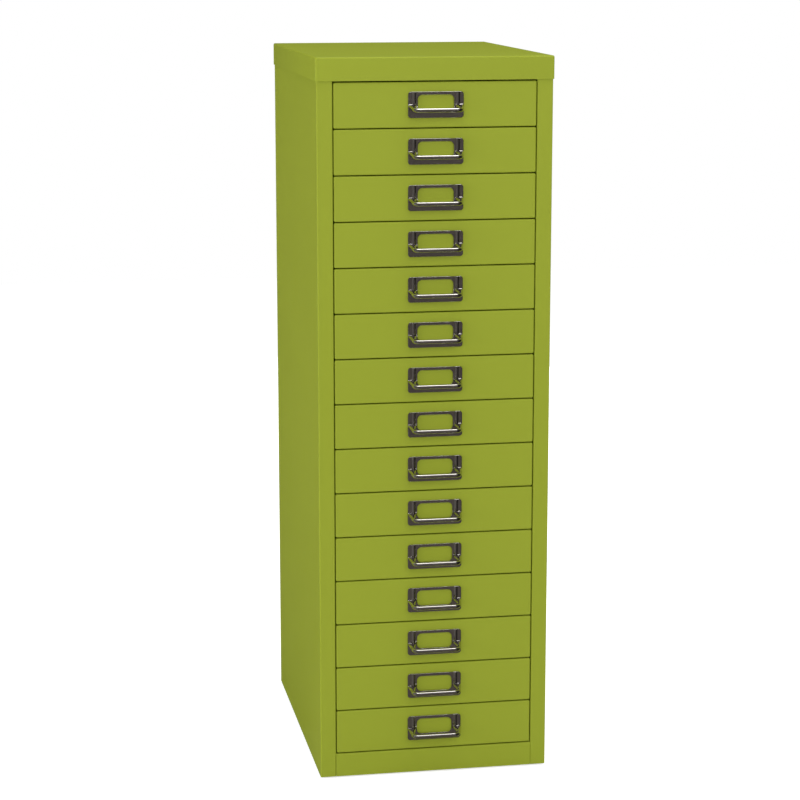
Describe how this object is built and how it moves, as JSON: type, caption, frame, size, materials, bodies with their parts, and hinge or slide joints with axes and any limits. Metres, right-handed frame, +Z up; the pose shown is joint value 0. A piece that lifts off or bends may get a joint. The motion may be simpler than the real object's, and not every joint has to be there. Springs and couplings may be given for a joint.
{
  "type": "multi-drawer cabinet",
  "caption": "Tall narrow painted steel cabinet with one column of shallow sliding drawers, each with a label frame and bow pull, under a folded lid.",
  "frame": {"origin": "on the floor, at the middle of the footprint with the pulls included", "axes": "+X to the right as seen from the front, +Y from the drawer fronts to the back, +Z up"},
  "size_m": [0.279, 0.4002, 0.86],
  "materials": {
    "lime_paint": "satin powder coat, lime green",
    "chrome": "polished plate over pressed steel",
    "nylon": "natural moulded nylon",
    "pad_plastic": "black moulded plastic"
  },
  "bodies": {
    "cabinet": {"top_cap": "lime_paint", "right_side_panel": "lime_paint", "left_side_panel": "lime_paint", "back_panel": "lime_paint", "base_pan": "lime_paint", "base_rail": "lime_paint", "top_rail": "lime_paint", "right_runner": "lime_paint", "left_runner": "lime_paint", "right_glides": "nylon", "left_glides": "nylon", "floor_pads": "pad_plastic"},
    "drawer_01": {"drawer_01_tray": "lime_paint", "drawer_01_front": "lime_paint", "drawer_01_handle": "chrome"},
    "drawer_02": {"drawer_02_tray": "lime_paint", "drawer_02_front": "lime_paint", "drawer_02_handle": "chrome"},
    "drawer_03": {"drawer_03_tray": "lime_paint", "drawer_03_front": "lime_paint", "drawer_03_handle": "chrome"},
    "drawer_04": {"drawer_04_tray": "lime_paint", "drawer_04_front": "lime_paint", "drawer_04_handle": "chrome"},
    "drawer_05": {"drawer_05_tray": "lime_paint", "drawer_05_front": "lime_paint", "drawer_05_handle": "chrome"},
    "drawer_06": {"drawer_06_tray": "lime_paint", "drawer_06_front": "lime_paint", "drawer_06_handle": "chrome"},
    "drawer_07": {"drawer_07_tray": "lime_paint", "drawer_07_front": "lime_paint", "drawer_07_handle": "chrome"},
    "drawer_08": {"drawer_08_tray": "lime_paint", "drawer_08_front": "lime_paint", "drawer_08_handle": "chrome"},
    "drawer_09": {"drawer_09_tray": "lime_paint", "drawer_09_front": "lime_paint", "drawer_09_handle": "chrome"},
    "drawer_10": {"drawer_10_tray": "lime_paint", "drawer_10_front": "lime_paint", "drawer_10_handle": "chrome"},
    "drawer_11": {"drawer_11_tray": "lime_paint", "drawer_11_front": "lime_paint", "drawer_11_handle": "chrome"},
    "drawer_12": {"drawer_12_tray": "lime_paint", "drawer_12_front": "lime_paint", "drawer_12_handle": "chrome"},
    "drawer_13": {"drawer_13_tray": "lime_paint", "drawer_13_front": "lime_paint", "drawer_13_handle": "chrome"},
    "drawer_14": {"drawer_14_tray": "lime_paint", "drawer_14_front": "lime_paint", "drawer_14_handle": "chrome"},
    "drawer_15": {"drawer_15_tray": "lime_paint", "drawer_15_front": "lime_paint", "drawer_15_handle": "chrome"}
  },
  "joints": [
    {"name": "drawer_01_slide", "type": "slide", "parent": "cabinet", "child": "drawer_01", "axis": [0, -1, 0], "range_m": [0, 0.27]},
    {"name": "drawer_02_slide", "type": "slide", "parent": "cabinet", "child": "drawer_02", "axis": [0, -1, 0], "range_m": [0, 0.27]},
    {"name": "drawer_03_slide", "type": "slide", "parent": "cabinet", "child": "drawer_03", "axis": [0, -1, 0], "range_m": [0, 0.27]},
    {"name": "drawer_04_slide", "type": "slide", "parent": "cabinet", "child": "drawer_04", "axis": [0, -1, 0], "range_m": [0, 0.27]},
    {"name": "drawer_05_slide", "type": "slide", "parent": "cabinet", "child": "drawer_05", "axis": [0, -1, 0], "range_m": [0, 0.27]},
    {"name": "drawer_06_slide", "type": "slide", "parent": "cabinet", "child": "drawer_06", "axis": [0, -1, 0], "range_m": [0, 0.27]},
    {"name": "drawer_07_slide", "type": "slide", "parent": "cabinet", "child": "drawer_07", "axis": [0, -1, 0], "range_m": [0, 0.27]},
    {"name": "drawer_08_slide", "type": "slide", "parent": "cabinet", "child": "drawer_08", "axis": [0, -1, 0], "range_m": [0, 0.27]},
    {"name": "drawer_09_slide", "type": "slide", "parent": "cabinet", "child": "drawer_09", "axis": [0, -1, 0], "range_m": [0, 0.27]},
    {"name": "drawer_10_slide", "type": "slide", "parent": "cabinet", "child": "drawer_10", "axis": [0, -1, 0], "range_m": [0, 0.27]},
    {"name": "drawer_11_slide", "type": "slide", "parent": "cabinet", "child": "drawer_11", "axis": [0, -1, 0], "range_m": [0, 0.27]},
    {"name": "drawer_12_slide", "type": "slide", "parent": "cabinet", "child": "drawer_12", "axis": [0, -1, 0], "range_m": [0, 0.27]},
    {"name": "drawer_13_slide", "type": "slide", "parent": "cabinet", "child": "drawer_13", "axis": [0, -1, 0], "range_m": [0, 0.27]},
    {"name": "drawer_14_slide", "type": "slide", "parent": "cabinet", "child": "drawer_14", "axis": [0, -1, 0], "range_m": [0, 0.27]},
    {"name": "drawer_15_slide", "type": "slide", "parent": "cabinet", "child": "drawer_15", "axis": [0, -1, 0], "range_m": [0, 0.27]}
  ]
}
